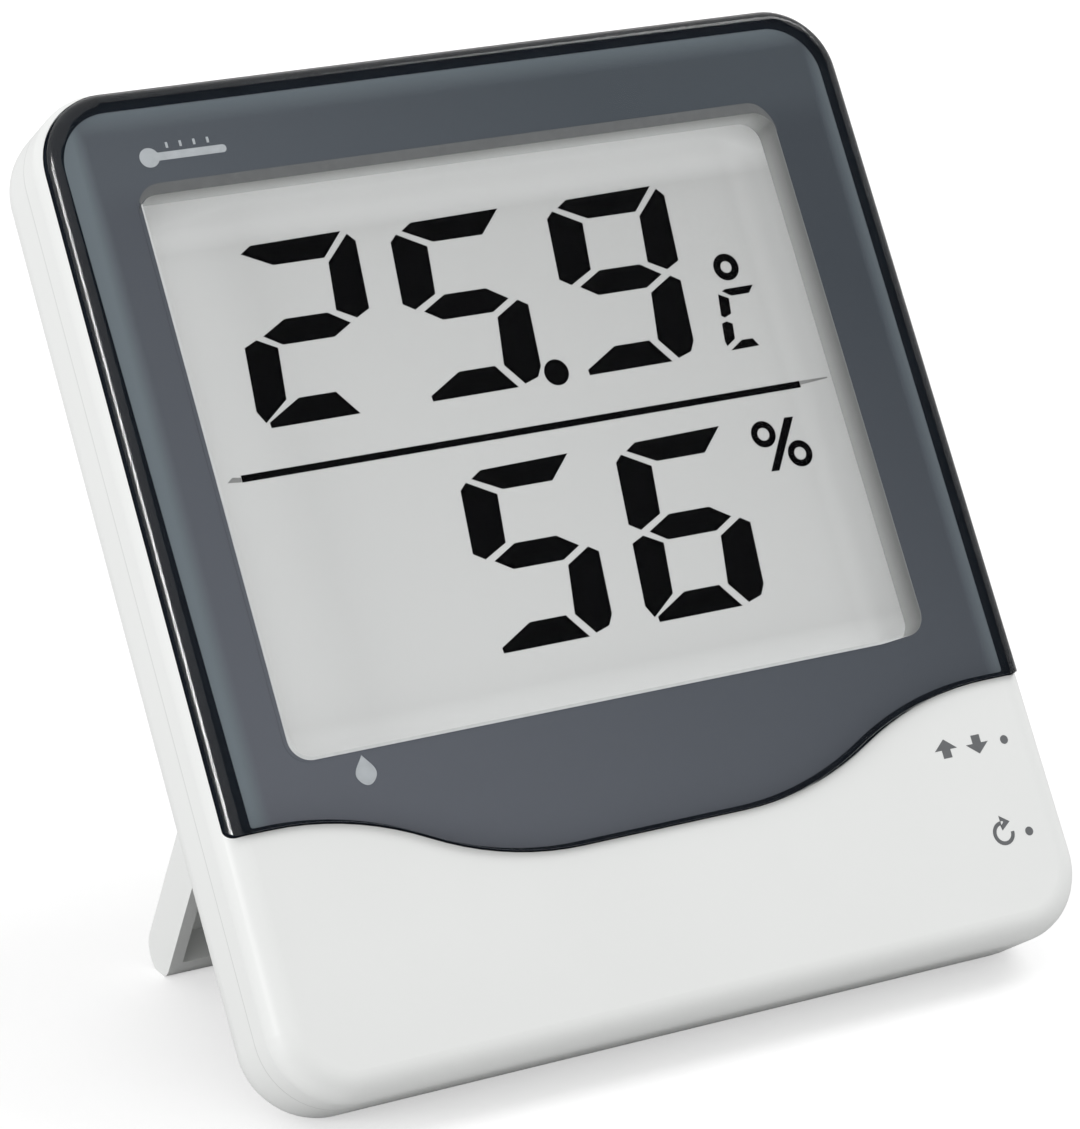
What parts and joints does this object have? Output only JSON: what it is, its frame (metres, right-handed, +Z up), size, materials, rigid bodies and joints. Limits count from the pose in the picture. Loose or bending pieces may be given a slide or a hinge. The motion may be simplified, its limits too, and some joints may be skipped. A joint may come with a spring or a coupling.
{
  "type": "digital weather station",
  "caption": "Slim desk thermo-hygrometer leaning back on a fold-out leg, with a dark wavy lens over a numeric display, side push buttons and a keyhole.",
  "frame": {"origin": "middle of the footprint at table height", "axes": "+X to the viewer's right along the width, +Y away from the viewer, +Z up; the case leans back on its opened leg"},
  "size_m": [0.0998, 0.0704, 0.0982],
  "materials": {
    "case_plastic": "fine satin moulded plastic",
    "lens_acrylic": "clear polished acrylic",
    "mask_ink": "dark grey printed film",
    "lcd_film": "grey-green reflective film",
    "lcd_glass": "clear thin glass",
    "strip_rubber": "layered silicone rubber",
    "board_laminate": "solder-masked laminate",
    "black_resin": "glossy potting resin",
    "capacitor_body": "fired ceramic",
    "sensor_body": "white sensor housing",
    "tinned_steel": "tinned sheet and wire",
    "black_plastic": "moulded plastic",
    "ribbon_film": "flat ribbon cable",
    "lead_insulation": "wire insulation",
    "cell_sleeve": "plain sleeve"
  },
  "bodies": {
    "housing": {"front_case": "case_plastic", "rear_case": "case_plastic", "front_lens": "lens_acrylic", "lens_mask": "mask_ink", "lcd_front_polarizer": "lcd_film", "lcd_front_glass": "lcd_glass", "lcd_rear_glass": "lcd_glass", "lcd_rear_polarizer": "lcd_film", "zebra_connector": "strip_rubber", "circuit_board": "board_laminate", "chip_blob": "black_resin", "crystal": "tinned_steel", "capacitors": "capacitor_body", "resistors": "black_resin", "humidity_sensor": "sensor_body", "temperature_sensor": "black_resin", "unit_switch_body": "tinned_steel", "button_board": "board_laminate", "tact_switches": "tinned_steel", "button_ribbon": "ribbon_film", "battery_leads": "lead_insulation", "battery": "cell_sleeve", "battery_spring": "tinned_steel", "battery_contact": "tinned_steel", "case_screws": "tinned_steel", "board_screws": "tinned_steel"},
    "leg": {"stand_leg": "case_plastic"},
    "door": {"battery_door": "case_plastic"},
    "unit_knob": {"unit_switch_knob": "black_plastic"},
    "upper_button": {"max_min_button": "case_plastic", "max_min_plunger": "black_plastic"},
    "lower_button": {"reset_button": "case_plastic", "reset_plunger": "black_plastic"}
  },
  "joints": [
    {"name": "leg_fold", "type": "hinge", "parent": "housing", "child": "leg", "pos_m": [0, -0.00224, 0.03455], "axis": [1, 0, 0], "range_deg": [-62.2, 0]},
    {"name": "door_slide", "type": "slide", "parent": "housing", "child": "door", "axis": [0, -0.5471, -0.8371], "range_m": [0, 0.0025]},
    {"name": "unit_slide", "type": "slide", "parent": "housing", "child": "unit_knob", "axis": [0, 0.5471, 0.8371], "range_m": [0, 0.002]},
    {"name": "upper_press", "type": "slide", "parent": "housing", "child": "upper_button", "axis": [-1, 0, 0], "range_m": [0, 0.0005], "stiffness_N_per_m": 1500},
    {"name": "lower_press", "type": "slide", "parent": "housing", "child": "lower_button", "axis": [-1, 0, 0], "range_m": [0, 0.0005], "stiffness_N_per_m": 1500}
  ]
}
